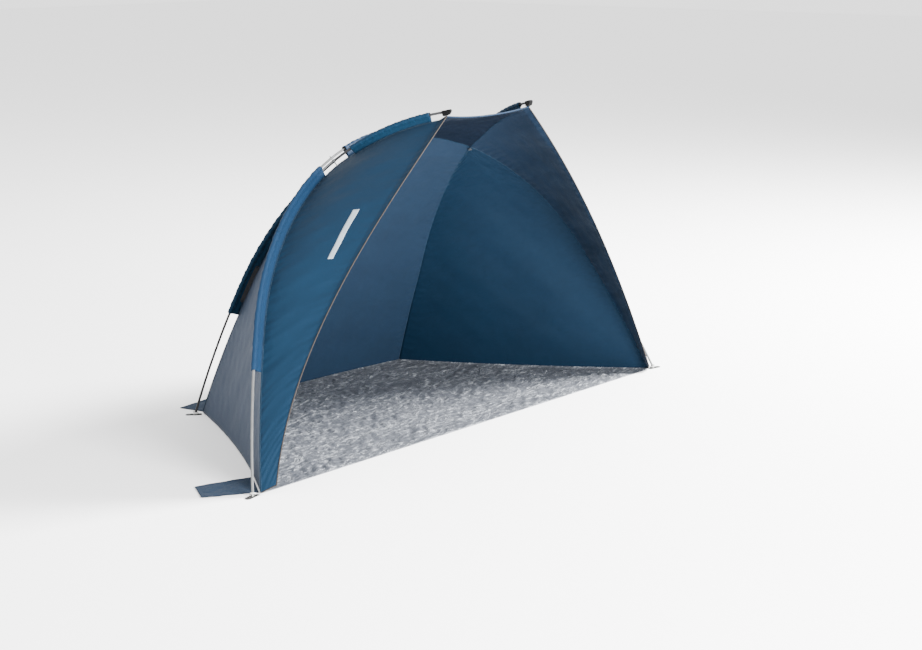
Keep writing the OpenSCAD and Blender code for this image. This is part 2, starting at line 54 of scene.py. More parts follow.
ARCH_SLEEVE_W = 0.033
REAR_SLEEVE_W = 0.034
FRONT_SLEEVE_W = 0.025
REAR_TILT = math.radians(40)
FRONT_TILT = math.radians(9)
CROSSING_S = 1.307
REAR_SLEEVE = (0.418, 1.035)
FRONT_SLEEVE = (1.200, 1.512)
FRONT_SEAM_END = 1.540
LEG_SLEEVE = (0.405, 1.232)
ROOF_SLEEVE_FROM = 1.378
SLEEVE_JOINT_S = 0.900
PEAK_BACK = 0.012
PEAK_DROP = 0.015
ARCH_SEAM_FROM = 0.014
SIDE_SEAM_FROM = 0.010
WING_CORNER = np.array([-1.026, -0.030, 0.026])
WING_PULL = [np.array([-0.560, -0.034, 0.800]), np.array([-0.892, 0.040, 0.440])]
HEM_SAG = 0.014
SIDE_BOW = 0.026
BACK_BOW = 0.030
GROUND = 0.0024

CLOTH = 0.0007
FLOOR_CLOTH = 0.0006
SLEEVE_CLOTH = 0.0005
VENT_CLOTH = 0.0004
PRINT_FILM = 0.0002
TAB_WEBBING = 0.0012
SLEEVE_R = 0.0086
SEAM_R = 0.0019
STITCH = 0.0032
STITCH_STEP = 0.0048
STITCH_R = 0.00035
SEAM_ROW_APART = 0.0034
WING_PIPING_R = 0.0018
WING_HEM_R = 0.0021
ROOF_HEM_R = 0.0026

# How far the cloth ripples inside a panel, and how far it puckers beside a seam.
PANEL_SLACK = 0.0022
WING_SLACK = 0.0026
PUCKER = 0.0011

# Points along each edge of a patch, and the cells across each panel.
EDGE_STEPS = 96
WING_CELLS = (240, 80)
SIDE_CELLS = (200, 120)
BACK_CELLS = (200, 220)
ROOF_CELLS = (110, 180)
FLOOR_CELLS = (300, 130)
FLAP_CELLS = (60, 56)
WING_SEED = 11

# The groundsheet turns up where it is sewn to the walls: its height there, and how fast it falls away.
FLOOR_RISE = 0.007
FLOOR_TURN = 0.010

FLAP_W = 0.162
FLAP_HEM_R = 0.0012
FRONT_FLAP_AT = 0.016
REAR_FLAP_AT = 0.012
HINGE_OUT = 0.004
FRONT_FLAP = [(0.0, 0.0), (0.162, 0.0), (0.101, 0.190), (-0.017, 0.180)]
REAR_FLAP = [(0.0, 0.0), (0.162, 0.0), (0.162, 0.110), (-0.012, 0.110)]

# Where the pole sleeves' vent strip runs, and how far out along the sleeve's web it is sewn.
VENT = (0.478, 0.615)
VENT_OUT = 0.024
VENT_PROUD = 0.0032
VENT_TILT = REAR_TILT + math.radians(8.5)
VENT_HALF = 0.0056
VENT_MESH_SHARE = 0.94
VENT_PIPING_R = 0.0011

# The webbing tab under each peak cap: where it leaves the cap, and where it is sewn to the canopy.
TAB_HALF = 0.006
TAB_FROM_END = 0.010
TAB_UNDER = 0.0125
TAB_BACK = 0.030

# Stretch and width of the printed bar, in the left wing's own 0..1 coordinates from the peak down.
PRINT_U = (0.275, 0.425)
PRINT_V = (0.665, 0.725)

# A point inside the shelter, which tells a panel's outer face from its inner one.
INSIDE = np.array([0.0, 0.35, 0.40])

# Studio: half the floor's width, its paleness and the world's light.
STAGE_HALF = 30.0
STAGE_PALE = 0.93
WORLD_STRENGTH = 2.1

# Each lamp's place, target, size in metres and power in watts.
LAMPS = {
    "key": ((5.0, -2.9, 3.7), (0.0, 0.1, 0.3), 2.2, 3900.0),
    "fill": ((-1.2, -5.6, 1.9), (0.0, 0.2, 0.4), 2.4, 1300.0),
}

CAMERA_PLACE = (-4.7538, -4.4010, 1.7171)
CAMERA_BELOW_LEVEL = 0.2162973
CAMERA_HEADING = -0.86930544
LENS_MM = 70.05
SENSOR_MM = 36.0


# ---- vectors and pole chains ----
def unit(v):
    return v / np.linalg.norm(v)


def flip(points):
    return np.asarray(points) * np.array([-1.0, 1.0, 1.0])


class Chain:
    """Arcs that each start along the end of the one before, in the plane of a pole."""

    def __init__(self, rows, heading):
        self.arcs = []
        at, s = np.zeros(2), 0.0
        for radius, length in rows:
            centre = at + radius * np.array([math.sin(heading), -math.cos(heading)])
            self.arcs.append((s, radius, centre, heading + math.pi / 2))
            heading -= length / radius
            at = centre + radius * np.array([-math.sin(heading), math.cos(heading)])
            s += length
        self.length = s
        self.end = at

    def arc(self, s):
        return [a for a in self.arcs if a[0] <= s or a is self.arcs[0]][-1]

    def polar(self, s):
        start, radius, _, angle = self.arc(s)
        return angle - (s - start) / radius

    def point(self, s, inwards=0.0):
        _, radius, centre, _ = self.arc(s)
        t = self.polar(s)
        return centre + (radius - inwards) * np.array([math.cos(t), math.sin(t)])


CROWN_HALF = 2 * ARCH_SECTION / CROWN_R
ARCH_HEADING = CROWN_HALF + ARCH_SECTION / LEG_R
FRONT_FOOT_X = CROWN_R * math.sin(CROWN_HALF) + LEG_R * (math.sin(ARCH_HEADING) - math.sin(CROWN_HALF))
ARCH = Chain(
    [(LEG_R, ARCH_SECTION), (CROWN_R, 4 * ARCH_SECTION), (LEG_R, ARCH_SECTION)], ARCH_HEADING
)
SIDE = Chain(SIDE_ARCS, SIDE_RISE)
SIDE_WAY = unit(np.array([SIDE_TOE_IN, -1.0, 0.0]))
SIDE_ACROSS = np.array([-SIDE_WAY[1], SIDE_WAY[0], 0.0])


def lean_back(x, y):
    return np.array([x, y * math.sin(ARCH_LEAN), y * math.cos(ARCH_LEAN)])


def arch_point(s, inwards=0.0):
    x, y = ARCH.point(s, inwards)
    return lean_back(x - FRONT_FOOT_X, y)


def arch_out(s):
    t = ARCH.polar(s)
    return lean_back(math.cos(t), math.sin(t))


def side_point(s, inwards=0.0, across=0.0):
    x, y = SIDE.point(s, inwards)
    return REAR_FOOT + SIDE_WAY * x + np.array([0.0, 0.0, y]) + SIDE_ACROSS * across


# ---- seams of the left half ----
CROSSING = arch_point(CROSSING_S, ARCH_SLEEVE_W)
TOP_START, TOP_RADIUS, TOP_CENTRE, TOP_ANGLE = SIDE.arcs[2]
CROSSING_FROM_CENTRE = np.array([(CROSSING - REAR_FOOT) @ SIDE_WAY, CROSSING[2]]) - TOP_CENTRE
CROSSING_IN = TOP_RADIUS - np.linalg.norm(CROSSING_FROM_CENTRE)
CROSSING_ANGLE = math.atan2(CROSSING_FROM_CENTRE[1], CROSSING_FROM_CENTRE[0])
SIDE_CROSSING_S = TOP_START + (TOP_ANGLE - CROSSING_ANGLE) * TOP_RADIUS
CROSSING_ACROSS = (CROSSING - REAR_FOOT) @ SIDE_ACROSS
PEAK_S = SIDE.length - PEAK_BACK

SEAM_S = [0.0, *REAR_SLEEVE, SIDE_CROSSING_S, FRONT_SLEEVE[0], FRONT_SEAM_END, PEAK_S]
SEAM_IN = [
    0.013, REAR_SLEEVE_W * math.cos(REAR_TILT), REAR_SLEEVE_W * math.cos(REAR_TILT), CROSSING_IN,
    FRONT_SLEEVE_W * math.cos(FRONT_TILT), FRONT_SLEEVE_W * math.cos(FRONT_TILT), PEAK_DROP,
]
SEAM_ACROSS = [
    0.032, REAR_SLEEVE_W * math.sin(REAR_TILT), REAR_SLEEVE_W * math.sin(REAR_TILT), CROSSING_ACROSS,
    FRONT_SLEEVE_W * math.sin(FRONT_TILT), FRONT_SLEEVE_W * math.sin(FRONT_TILT), 0.0,
]


def side_seam(s):
    return side_point(s, np.interp(s, SEAM_S, SEAM_IN), np.interp(s, SEAM_S, SEAM_ACROSS))


def arch_seam(s):
    return arch_point(s, ARCH_SLEEVE_W)


def line_of(function, values):
    return np.array([function(s) for s in values])


def line(function, start, end):
    return line_of(function, np.linspace(start, end, EDGE_STEPS + 1))


def straight(a, b, bow=(0.0, 0.0, 0.0), n=EDGE_STEPS):
    t = np.linspace(0, 1, n + 1)[:, None]
    return a + (b - a) * t + np.array(bow) * 4 * t * (1 - t)


def on_ground(p, z=GROUND):
    return np.array([p[0], p[1], z])


def bezier(p, t):
    t = np.asarray(t)[..., None]
    return (1 - t) ** 3 * p[0] + 3 * (1 - t) ** 2 * t * p[1] + 3 * (1 - t) * t**2 * p[2] + t**3 * p[3]


FRONT_CORNER = arch_seam(ARCH_SEAM_FROM)
REAR_CORNER = side_seam(SIDE_SEAM_FROM)
PEAK = side_seam(PEAK_S)
LEG_SEAM = line(arch_seam, ARCH_SEAM_FROM, CROSSING_S)
REAR_SEAM = line(side_seam, SIDE_SEAM_FROM, SIDE_CROSSING_S)
FRONT_SEAM = line(side_seam, SIDE_CROSSING_S, PEAK_S)
ROOF_SEAM = line(arch_seam, CROSSING_S, ARCH.length - CROSSING_S)
WING_EDGE = bezier([WING_CORNER, WING_PULL[1], WING_PULL[0], PEAK], np.linspace(0, 1, EDGE_STEPS + 1))
HEM_EDGE = straight(PEAK, flip(PEAK), (0.0, 0.006, -HEM_SAG))
SIDE_OUT = unit(np.cross([0, 0, 1], REAR_CORNER - FRONT_CORNER))
SIDE_EDGE = straight(on_ground(FRONT_CORNER), on_ground(REAR_CORNER), -SIDE_OUT * SIDE_BOW)
BACK_EDGE = straight(on_ground(REAR_CORNER), on_ground(flip(REAR_CORNER)), (0.0, BACK_BOW, 0.0))


# ---- cloth patches ----
def along(points, t):
    at = np.linspace(0, 1, len(points))
    return np.stack([np.interp(t, at, points[:, k]) for k in range(3)], axis=-1)


def patch(low, high, start, end, nu, nv):
    """Grid between four edges: low and high run with u, start and end with v."""
    u = np.linspace(0, 1, nu + 1)
    v = np.linspace(0, 1, nv + 1)
    uu, vv = u[:, None, None], v[None, :, None]
    low_u, high_u = along(low, u)[:, None], along(high, u)[:, None]
    start_v, end_v = along(start, v)[None], along(end, v)[None]
    corners = (low[0] * (1 - uu) + low[-1] * uu) * (1 - vv) + (high[0] * (1 - uu) + high[-1] * uu) * vv
    return low_u * (1 - vv) + high_u * vv + start_v * (1 - uu) + end_v * uu - corners


def normals(grid):
    n = np.cross(np.gradient(grid, axis=0), np.gradient(grid, axis=1))
    size = np.linalg.norm(n, axis=2, keepdims=True)
    return n / np.maximum(size, 1e-12)


def facing_out(grid):
    middle = grid[grid.shape[0] // 2, grid.shape[1] // 2]
    normal = normals(grid)[grid.shape[0] // 2, grid.shape[1] // 2]
    return grid if normal @ (middle - INSIDE) > 0 else grid[::-1]


def spans(grid):
    """Distances along the cloth, which are also its UV coordinates in metres."""
    du = np.linalg.norm(np.diff(grid, axis=0), axis=2)
    dv = np.linalg.norm(np.diff(grid, axis=1), axis=2)
    u = np.vstack([np.zeros(grid.shape[1]), np.cumsum(du, axis=0)])
    v = np.hstack([np.zeros((grid.shape[0], 1)), np.cumsum(dv, axis=1)])
    return u, v


def ripples(u, v, seed, longest, shortest, waves=9):
    """Sum of soft waves in seeded directions, about -1 to 1."""
    rng = np.random.RandomState(seed)
    total = np.zeros_like(u)
    for length in np.geomspace(longest, shortest, waves):
        angle, phase = rng.uniform(0, math.pi), rng.uniform(0, 2 * math.pi)
        weight = (length / longest) ** 0.7
        along_wave = u * math.cos(angle) + v * math.sin(angle)
        total += weight * np.sin(2 * math.pi * along_wave / length + phase)
    return total / 2.2


def edge_mask(shape, reach=0.12):
    """0 on the border of a grid, rising to 1 inside it."""
    u = np.linspace(0, 1, shape[0])[:, None]
    v = np.linspace(0, 1, shape[1])[None, :]
    near = np.minimum(np.minimum(u, 1 - u), np.minimum(v, 1 - v))
    return np.clip(near / reach, 0, 1) ** 0.8


def puckered(grid, seed, slack=PANEL_SLACK):
    """Slack ripples inside a panel, and short puckers that die away from its sewn edges."""
    u, v = spans(grid)
    mask = edge_mask(grid.shape)
    inner = ripples(u, v, seed, 0.42, 0.06) * mask * slack
    near = np.exp(-np.minimum(v, v[:, -1:] - v) / 0.035) * edge_mask(grid.shape, 0.02)
    drawn = np.sin(2 * math.pi * u / 0.034 + 2.0 * ripples(u, v, seed + 1, 0.3, 0.1)) * near * PUCKER
    return grid + normals(grid) * (inner + drawn)[..., None]


# ---- meshes ----
def to_frame(points):
    return np.asarray(points, float) - np.array([0.0, FRONT_LINE, 0.0])


def add_object(name, verts, faces, materials, uvs=None, smooth=True):
    mesh = bpy.data.meshes.new(name)
    mesh.from_pydata([tuple(p) for p in to_frame(verts)], [], faces)
    for material in materials:
        mesh.materials.append(material)
    if uvs is not None:
        layer = mesh.uv_layers.new(name="cloth")
        index = np.array([loop.vertex_index for loop in mesh.loops])
        layer.data.foreach_set("uv", np.asarray(uvs, float)[index].ravel())
    mesh.polygons.foreach_set("use_smooth", [smooth] * len(mesh.polygons))
    mesh.update()
    obj = bpy.data.objects.new(name, mesh)
    bpy.context.collection.objects.link(obj)
    return obj


def grid_faces(nu, nv, wrap=False):
    last = nv if wrap else nv - 1
    return [
        (i * nv + j, (i + 1) * nv + j, (i + 1) * nv + (j + 1) % nv, i * nv + (j + 1) % nv)
        for i in range(nu - 1) for j in range(last)
    ]


def solid(obj, thickness, inner=0):
    shell = obj.modifiers.new("thickness", "SOLIDIFY")
    shell.thickness = thickness
    shell.offset = 0.0
    shell.material_offset = inner
    shell.material_offset_rim = 0
    return obj


def cloth(name, grid, outside, inside=None, thickness=CLOTH):
    u, v = spans(grid)
    materials = [outside] if inside is None else [outside, inside]
    obj = add_object(
        name, grid.reshape(-1, 3), grid_faces(*grid.shape[:2]), materials,
        np.stack([u.ravel(), v.ravel()], axis=1),
    )
    return solid(obj, thickness, len(materials) - 1)


def tangents(path):
    t = np.gradient(path, axis=0)
    return t / np.linalg.norm(t, axis=1, keepdims=True)


def tube(name, path, radius, material, sides=8, flatten=1.0, up=(0.0, 0.0, 1.0)):
    """Closed cord or piping along a path; flatten under 1 presses it towards up."""
    t = tangents(path)
    a = np.cross(t, np.asarray(up, float))
    a /= np.linalg.norm(a, axis=1, keepdims=True)
    b = np.cross(a, t)
    turn = np.linspace(0, 2 * math.pi, sides, endpoint=False)
    rings = path[:, None] + radius * (
        a[:, None] * np.cos(turn)[None, :, None] + flatten * b[:, None] * np.sin(turn)[None, :, None]
    )
    n = len(path)
    faces = grid_faces(n, sides, wrap=True)
    faces += [tuple(range(sides))[::-1], tuple(range((n - 1) * sides, n * sides))]
    run = np.concatenate([[0], np.cumsum(np.linalg.norm(np.diff(path, axis=0), axis=1))])
    uvs = np.stack([np.repeat(run, sides), np.tile(turn * radius, n)], axis=1)
    return add_object(name, rings.reshape(-1, 3), faces, [material], uvs)


def resample(path, step, *others):
    """Even points along a path, with any other lists of vectors read at the same places."""
    run = np.concatenate([[0], np.cumsum(np.linalg.norm(np.diff(path, axis=0), axis=1))])
    at = np.arange(step / 2, run[-1], step)
    found = [np.stack([np.interp(at, run, q[:, k]) for k in range(3)], axis=-1) for q in (path, *others)]
    return found if others else found[0]


def stitches(name, rows, material):
    """Short raised threads in a row along each path; each path has a matching list of normals."""
    verts, faces = [], []
    for path, out in rows:
        centres, lifts = resample(path, STITCH_STEP, out)
        for centre, lift, way in zip(centres, lifts, tangents(centres)):
            normal = unit(lift)
            across = unit(np.cross(way, normal))
            base = len(verts)
            for end, height in ((-0.5, 0.2), (-0.3, 1.0), (0.3, 1.0), (0.5, 0.2)):
                middle = centre + way * STITCH * end + normal * STITCH_R * height
                for x, y in ((1, 0), (0, 1), (-1, 0), (0, -1)):
                    verts.append(middle + (across * x + normal * y * 0.8) * STITCH_R)
            faces += [
                (base + 4 * i + j, base + 4 * i + (j + 1) % 4,
                 base + 4 * i + 4 + (j + 1) % 4, base + 4 * i + 4 + j)
                for i in range(3) for j in range(4)
            ]
            faces += [(base + 3, base + 2, base + 1, base), (base + 12, base + 13, base + 14, base + 15)]
    return add_object(name, verts, faces, [material])


# ---- materials ----
class Graph:
    """A material with a Principled shader, and short calls to add nodes to it."""

    def __init__(self, name, roughness, metallic=0.0, sheen=0.0, specular=0.5):
        self.material = bpy.data.materials.new(name)
        self.material.use_nodes = True
        self.tree = self.material.node_tree
        self.shader = self.tree.nodes["Principled BSDF"]
        self.shader.inputs["Roughness"].default_value = roughness
        self.shader.inputs["Metallic"].default_value = metallic
        self.shader.inputs["Sheen Weight"].default_value = sheen
        self.shader.inputs["Sheen Roughness"].default_value = 0.4
        self.shader.inputs["Specular IOR Level"].default_value = specular

    def node(self, kind, values=None, **links):
        item = self.tree.nodes.new(kind)
        for key, value in (values or {}).items():
            if key in item.inputs:
                item.inputs[key].default_value = value
            else:
                setattr(item, key, value)
        for key, source in links.items():
            self.tree.links.new(source, item.inputs[key.replace("_", " ")])
        return item

    def link(self, source, target):
        self.tree.links.new(source, self.shader.inputs[target])

    def coordinates(self, kind):
        return self.node("ShaderNodeTexCoord").outputs[kind]

    def noise(self, vector, scale, detail=3.0, roughness=0.55, distortion=0.0):
        values = {"Scale": scale, "Detail": detail, "Roughness": roughness, "Distortion": distortion}
        return self.node("ShaderNodeTexNoise", values, Vector=vector).outputs["Fac"]

    def ramp(self, factor, stops):
        item = self.node("ShaderNodeValToRGB", Fac=factor)
        elements = item.color_ramp.elements
        while len(elements) < len(stops):
            elements.new(0.5)
        for element, (position, colour) in zip(elements, stops):
            element.position = position
            element.color = (*colour, 1.0)
        return item.outputs["Color"]

    def bump(self, height, distance, strength=1.0, below=None):
        item = self.node("ShaderNodeBump", {"Distance": distance, "Strength": strength}, Height=height)
        if below is not None:
            self.tree.links.new(below, item.inputs["Normal"])
        return item.outputs["Normal"]

    def folds(self, vector, scale, curl):
        """1 on the thin lines where distorted noise passes its middle value, falling to 0 beside them."""
        from_middle = self.math("SUBTRACT", self.noise(vector, scale, 4.0, 0.55, curl), 0.5)
        away = self.math("ABSOLUTE", from_middle, 0.0)
        ridge = self.node("ShaderNodeMapRange", {"From Max": 0.04, "To Min": 1.0, "To Max": 0.0}, Value=away)
        return ridge.outputs["Result"]

    def math(self, operation, a, b):
        item = self.node("ShaderNodeMath", {"operation": operation})
        self.tree.links.new(a, item.inputs[0])
        if isinstance(b, float):
            item.inputs[1].default_value = b
        else:
            self.tree.links.new(b, item.inputs[1])
        return item.outputs["Value"]


def shade(colour, factor):
    return tuple(min(1.0, c * factor) for c in colour)


def wave_scale(pitch):
    """Scale at which Blender's wave texture repeats every pitch metres."""
    return 2 * math.pi / (20 * pitch)


def woven(name, colour, pitch=0.0007, roughness=0.74, sheen=0.03, mottle=0.08, crease=0.0012):
    """Plain weave in the cloth's own UVs, with uneven dye and soft handling creases."""
    g = Graph(name, roughness, sheen=sheen, specular=0.09)
    uv = g.coordinates("UV")
    place = g.coordinates("Object")
    warp = g.node("ShaderNodeTexWave", {"Scale": wave_scale(pitch), "bands_direction": "X"}, Vector=uv)
    weft = g.node("ShaderNodeTexWave", {"Scale": wave_scale(pitch), "bands_direction": "Y"}, Vector=uv)
    thread = g.math("MAXIMUM", warp.outputs["Fac"], weft.outputs["Fac"])
    slub = g.noise(uv, 420.0, 2.0)
    cloudy = g.noise(place, 7.0, 5.0, 0.6)
    tone = g.math("ADD", g.math("MULTIPLY", slub, 0.45), g.math("MULTIPLY", cloudy, 0.55))
    dyed = g.ramp(tone, [(0.3, shade(colour, 1 - mottle)), (0.7, shade(colour, 1 + mottle))])
    g.link(dyed, "Base Color")
    limits = {"To Min": roughness - 0.06, "To Max": roughness + 0.08}
    rough = g.node("ShaderNodeMapRange", limits, Value=slub)
    g.link(rough.outputs["Result"], "Roughness")
    creased = g.bump(g.noise(place, 26.0, 4.0, 0.5, 0.4), crease)
    g.link(g.bump(thread, 0.00012, 0.8, creased), "Normal")
    return g.material


def crinkled(name):
    """Coated woven sheet, silver, crumpled: the thin bright fold lines are painted highlights, and the
    duller facets between them are partly painted reflection over the sheet's own silver.
    """
    g = Graph(name, 0.45, metallic=0.25, specular=0.3)
    place = g.coordinates("Object")
    drawn = g.node("ShaderNodeMapping", Vector=place)
    drawn.inputs["Scale"].default_value = (0.50, 1.30, 1.0)
    bent = drawn.outputs["Vector"]
    wide = g.folds(bent, 8.5, 2.6)
    small = g.folds(bent, 19.0, 2.0)
    dull = g.noise(bent, 9.0, 5.0, 0.62, 1.4)
    lines = g.math("ADD", g.math("MULTIPLY", wide, 0.55), g.math("MULTIPLY", small, 0.45))
    tone = g.math("ADD", g.math("MULTIPLY", lines, 0.60), g.math("MULTIPLY", dull, 0.52))
    # The ramp's bright end is painted highlight along the fold lines; its dark and middle stops are the
    # facets, partly painted reflection.
    stops = [(0.20, (0.062, 0.067, 0.078)), (0.45, (0.088, 0.094, 0.107)), (0.85, (0.36, 0.38, 0.40))]
    silver = g.ramp(tone, stops)
    g.link(silver, "Base Color")
    slopes = g.bump(g.noise(bent, 15.0, 4.0, 0.55, 2.4), 0.010, 0.6)
    g.link(g.bump(lines, 0.0022, 0.7, slopes), "Normal")
    return g.material


def moulded(name, colour, roughness, grain=900.0, metallic=0.0):
    """Plastic, fibreglass or metal: fine surface grain, slight colour change and rubbed patches."""
    g = Graph(name, roughness, metallic, specular=0.5 if metallic else 0.06)
    place = g.coordinates("Object")
    patches = g.noise(place, 32.0, 4.0, 0.6)
    g.link(g.ramp(patches, [(0.3, shade(colour, 0.88)), (0.7, shade(colour, 1.1))]), "Base Color")
    limits = {"To Min": roughness - 0.1, "To Max": roughness + 0.1}
    rubbed = g.node("ShaderNodeMapRange", limits, Value=patches)
    g.link(rubbed.outputs["Result"], "Roughness")
    g.link(g.bump(g.noise(place, grain, 2.0), 0.00008, 0.7), "Normal")
    return g.material


WING_BLUE = (0.0032, 0.0155, 0.0340)
# Inner faces of the wings and side panels: their blue is set darker as painted shade inside the shelter.
WING_INSIDE_SHADE = (0.0022, 0.0093, 0.0225)
SIDE_INSIDE_SHADE = (0.0006, 0.0076, 0.0185)
BACK_LINING = (0.0044, 0.0125, 0.0265)
# Leg and roof sleeves are the canopy's blue fabric, set lighter as painted light on faces turned to the
# light; the peak sleeve keeps the same fabric less lit.
LIT_SLEEVE_BLUE = (0.0040, 0.0190, 0.0470)
PEAK_SLEEVE_BLUE = (0.0030, 0.0180, 0.0400)
NAVY = (0.0022, 0.0140, 0.0300)
# Underside of the roof: the navy cloth darkened as painted shade under the roof.
ROOF_UNDERSIDE_SHADE = (0.0007, 0.0036, 0.0100)
SIDE_GREY = (0.0225, 0.0330, 0.0540)
FLAP_BLUE = (0.0092, 0.0215, 0.0430)
TAN = (0.030, 0.024, 0.020)

wing_cloth = woven("wing cloth", WING_BLUE)
# Wing and side-panel insides: colours darkened as painted shade.
wing_inside_shade = woven("wing inside shade", WING_INSIDE_SHADE)
side_inside_shade = woven("side inside shade", SIDE_INSIDE_SHADE, sheen=0.0)
back_lining = woven("back lining", BACK_LINING)
grey_cloth = woven("grey cloth", SIDE_GREY, mottle=0.07)
# Roof underside: colour darkened as painted shade.
roof_underside_shade = woven("roof underside shade", ROOF_UNDERSIDE_SHADE, sheen=0.0)
# Sleeve cloth in painted light: lighter than the peak sleeve of the same fabric.
lit_sleeve_cloth = woven("sleeve cloth", LIT_SLEEVE_BLUE, roughness=0.62)
peak_sleeve_cloth = woven("peak sleeve cloth", PEAK_SLEEVE_BLUE, roughness=0.62)
navy_cloth = woven("navy cloth", NAVY)
flap_cloth = woven("flap cloth", FLAP_BLUE, crease=0.002)
flap_hem_cloth = woven("flap hem cloth", shade(FLAP_BLUE, 0.6))
tan_tape = woven("tan tape", TAN, pitch=0.0011, roughness=0.7, mottle=0.14)
hem_tape = woven("hem tape", shade(LIT_SLEEVE_BLUE, 0.7), pitch=0.0011)
seam_tape = woven("seam tape", shade(NAVY, 0.9), pitch=0.0011)
webbing = woven("webbing", (0.012, 0.012, 0.013), pitch=0.0016, roughness=0.65, mottle=0.2)
thread = moulded("thread", (0.055, 0.085, 0.115), 0.6)
print_ink = moulded("print ink", (0.27, 0.31, 0.34), 0.55)
mesh_cloth = woven("vent mesh", (0.02, 0.022, 0.025), pitch=0.0022)
floor_sheet = crinkled("floor sheet")

# The material of each CAD node that stays showing, by a part of its name.
NODE_MATERIALS = {
    "arch_pole": moulded("light fibreglass", (0.110, 0.112, 0.112), 0.38, grain=420.0),
    "left_pole": moulded("dark fibreglass", (0.030, 0.030, 0.032), 0.40, grain=420.0),
    "ferrules": moulded("ferrule steel", (0.20, 0.205, 0.21), 0.34, metallic=1.0),
    "shock_cord": moulded("elastic", (0.020, 0.020, 0.021), 0.7),
    "peak_cap": moulded("black plastic", (0.003, 0.003, 0.0033), 0.55),
    "foot": moulded("white nylon", (0.48, 0.48, 0.46), 0.45),
    "anchor_tab": webbing,
    "pin_eyelets": moulded("nickel", (0.30, 0.30, 0.29), 0.32, metallic=1.0),
    "peg_eyelets": moulded("dark nickel", (0.12, 0.12, 0.118), 0.36, metallic=1.0),
    "crossing_tie": moulded("tie elastic", (0.16, 0.17, 0.18), 0.7),
    "crossing_button": moulded("button plastic", (0.030, 0.033, 0.038), 0.4),
}
NODE_MATERIALS["right_pole"] = NODE_MATERIALS["left_pole"]


def dress_cad_nodes():
    for name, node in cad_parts.items():
        found = [material for key, material in NODE_MATERIALS.items() if key in name]
        if found:
            node.data.materials.clear()
            node.data.materials.append(found[0])


# ---- canopy ----
def panel(name, node, edges, size, outside, inside, seed, mirrored=False, slack=PANEL_SLACK):
    base = patch(*edges, *size)
    base = facing_out(flip(base) if mirrored else base)
    obj = cloth(name, puckered(base, seed, slack), outside, inside)
    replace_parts(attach(obj, "shelter"), node)
    return base


WING_EDGES = (LEG_SEAM, WING_EDGE, straight(FRONT_CORNER, WING_CORNER), FRONT_SEAM)
POINT = np.repeat(CROSSING[None], EDGE_STEPS + 1, axis=0)
SIDE_EDGES = (REAR_SEAM, LEG_SEAM, SIDE_EDGE[::-1], POINT)
BACK_EDGES = (REAR_SEAM, flip(REAR_SEAM), BACK_EDGE, ROOF_SEAM)
ROOF_EDGES = (FRONT_SEAM, flip(FRONT_SEAM), ROOF_SEAM, HEM_EDGE)


def canopy():
    for side, mirrored in (("left", False), ("right", True)):
        panel(f"wing_{side}", f"wing_panel_{side}", WING_EDGES, WING_CELLS, wing_cloth, wing_inside_shade,
              WING_SEED + mirrored, mirrored, WING_SLACK)
        panel(f"side_{side}", f"side_panel_{side}", SIDE_EDGES, SIDE_CELLS, grey_cloth, side_inside_shade,
              21 + mirrored, mirrored)
    panel("back_wall", "back_panel", BACK_EDGES, BACK_CELLS, navy_cloth, back_lining, 31)
    panel("roof", "roof_panel", ROOF_EDGES, ROOF_CELLS, navy_cloth, roof_underside_shade, 41)


# ---- sleeves ----
def sleeve_grid(points, outs, axes, widths, seed):
    """Teardrop of cloth round the pole that closes on the seam, drawn into small puckers."""
    n = len(points)
    turns = np.radians(np.linspace(150, 0, 11))
    rows = []
    rng = np.random.RandomState(seed)
    phase = rng.uniform(0, 6.28, 3)
    for i in range(n):
        out, axis, width = outs[i], axes[i], widths[i]
        side = unit(np.cross(out, axis))
        run = i / (n - 1)
        swell = 0.0006 * math.sin(150 * run + phase[0]) + 0.0005 * math.sin(67 * run + phase[1])
        r = SLEEVE_R + swell
        upper = [points[i] + r * (math.cos(a) * out + math.sin(a) * side) for a in turns]
        lower = [points[i] + r * (math.cos(a) * out - math.sin(a) * side) for a in turns[::-1]][1:]
        foot = points[i] - out * (width - 0.0012)
        lead = [foot + (upper[0] - foot) * t + side * 0.0004 for t in (0.0, 0.35, 0.7)]
        tail = [foot + (lower[-1] - foot) * t - side * 0.0004 for t in (0.7, 0.35, 0.0)]
        rows.append(lead + upper + lower + tail)
    return np.array(rows)


def sleeve(name, node, s_range, kind, material, seed, mirrored=False, count=150):
    s = np.linspace(*s_range, count)
    if kind == "arch":
        points = line_of(arch_point, s)
        outs = line_of(arch_out, s)
        widths = np.full(count, ARCH_SLEEVE_W)
    else:
        points = line_of(side_point, s)
        gaps = points - line_of(side_seam, s)
        widths = np.linalg.norm(gaps, axis=1)
        outs = gaps / widths[:, None]
    axes = tangents(points)
    grid = sleeve_grid(points, outs, axes, widths, seed)
    grid = flip(grid) if mirrored else grid
    grid = grid if mirrored else grid[:, ::-1]
    obj = cloth(name, grid, material, thickness=SLEEVE_CLOTH)
    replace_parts(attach(obj, "shelter"), node)


def sleeve_joint(side, mirrored):
    """The cross seam where the two lengths of a leg sleeve are sewn together."""
    centre, out = arch_point(SLEEVE_JOINT_S), arch_out(SLEEVE_JOINT_S)
    across = unit(np.cross(out, arch_point(SLEEVE_JOINT_S + 0.01) - centre))
    turn = np.radians(np.linspace(-150, 150, 25))[:, None]
    ring = centre + (SLEEVE_R + 0.0008) * (np.cos(turn) * out + np.sin(turn) * across)
    ring = flip(ring) if mirrored else ring
    cord = tube(f"sleeve_joint_{side}", ring, 0.0008, seam_tape, sides=6, up=(0.3, 0.5, 0.8))
    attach(cord, "shelter")


